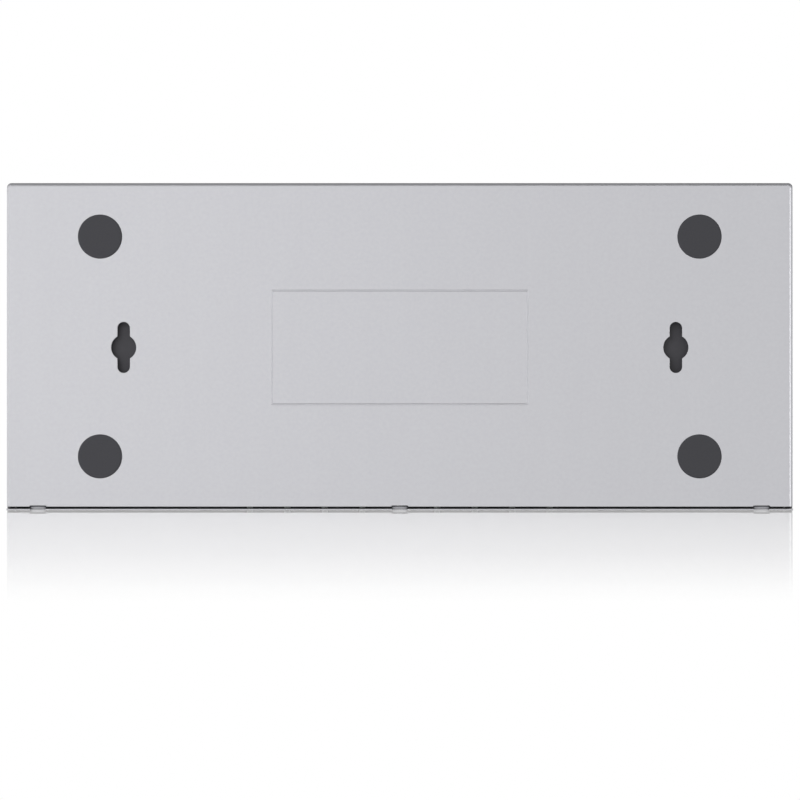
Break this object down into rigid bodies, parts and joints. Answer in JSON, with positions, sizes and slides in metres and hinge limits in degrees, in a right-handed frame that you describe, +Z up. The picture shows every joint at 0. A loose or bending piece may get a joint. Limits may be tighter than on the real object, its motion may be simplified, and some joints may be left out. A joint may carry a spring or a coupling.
{
  "type": "ethernet switch",
  "caption": "Slim desktop ethernet switch in a folded sheet-metal case, with rubber feet, wall keyholes, rear sockets, power inlet and front status lamps.",
  "frame": {"origin": "under the middle of the case, in the plane of the feet's lower faces", "axes": "+X along the long side, +Y towards the rear wall with the sockets, +Z up"},
  "size_m": [0.25, 0.104, 0.027],
  "materials": {
    "case_steel": "satin silver-grey powder coat",
    "foot_rubber": "matte",
    "film_plastic": "matte",
    "zinc_steel": "bright zinc plate",
    "board_laminate": "semi-gloss solder mask",
    "shield_metal": "nickel plate",
    "socket_plastic": "moulded matte",
    "contact_gold": "gold flash",
    "chip_plastic": "moulded matte",
    "pad_silicone": "soft matte",
    "sink_aluminium": "extruded",
    "can_aluminium": "drawn, satin",
    "inductor_ferrite": "matte",
    "lamp_resin": "clear gloss",
    "pipe_acrylic": "clear gloss"
  },
  "bodies": {
    "root": {"base_tray": "case_steel", "board_screws": "zinc_steel", "board_standoffs": "zinc_steel", "bulk_capacitor_1": "can_aluminium", "bulk_capacitor_2": "can_aluminium", "circuit_board": "board_laminate", "clinch_nuts": "zinc_steel", "cover_screws": "zinc_steel", "crystal": "can_aluminium", "foot_1": "foot_rubber", "foot_2": "foot_rubber", "foot_3": "foot_rubber", "foot_4": "foot_rubber", "heat_sink": "sink_aluminium", "insulating_film": "film_plastic", "jack_housing_1": "socket_plastic", "jack_housing_2": "socket_plastic", "jack_shield_1": "shield_metal", "jack_shield_2": "shield_metal", "light_pipe": "pipe_acrylic", "memory_chip": "chip_plastic", "port_contacts_1": "contact_gold", "port_contacts_2": "contact_gold", "port_contacts_3": "contact_gold", "port_contacts_4": "contact_gold", "port_contacts_5": "contact_gold", "port_contacts_6": "contact_gold", "port_contacts_7": "contact_gold", "port_contacts_8": "contact_gold", "power_inductor": "inductor_ferrite", "power_jack_housing": "socket_plastic", "power_jack_pin": "shield_metal", "power_jack_spring": "shield_metal", "regulator_chip": "chip_plastic", "status_lamps": "lamp_resin", "switch_chip": "chip_plastic", "thermal_pad": "pad_silicone", "top_cover": "case_steel", "transformer_1": "chip_plastic", "transformer_2": "chip_plastic", "transformer_3": "chip_plastic", "transformer_4": "chip_plastic"}
  },
  "joints": []
}
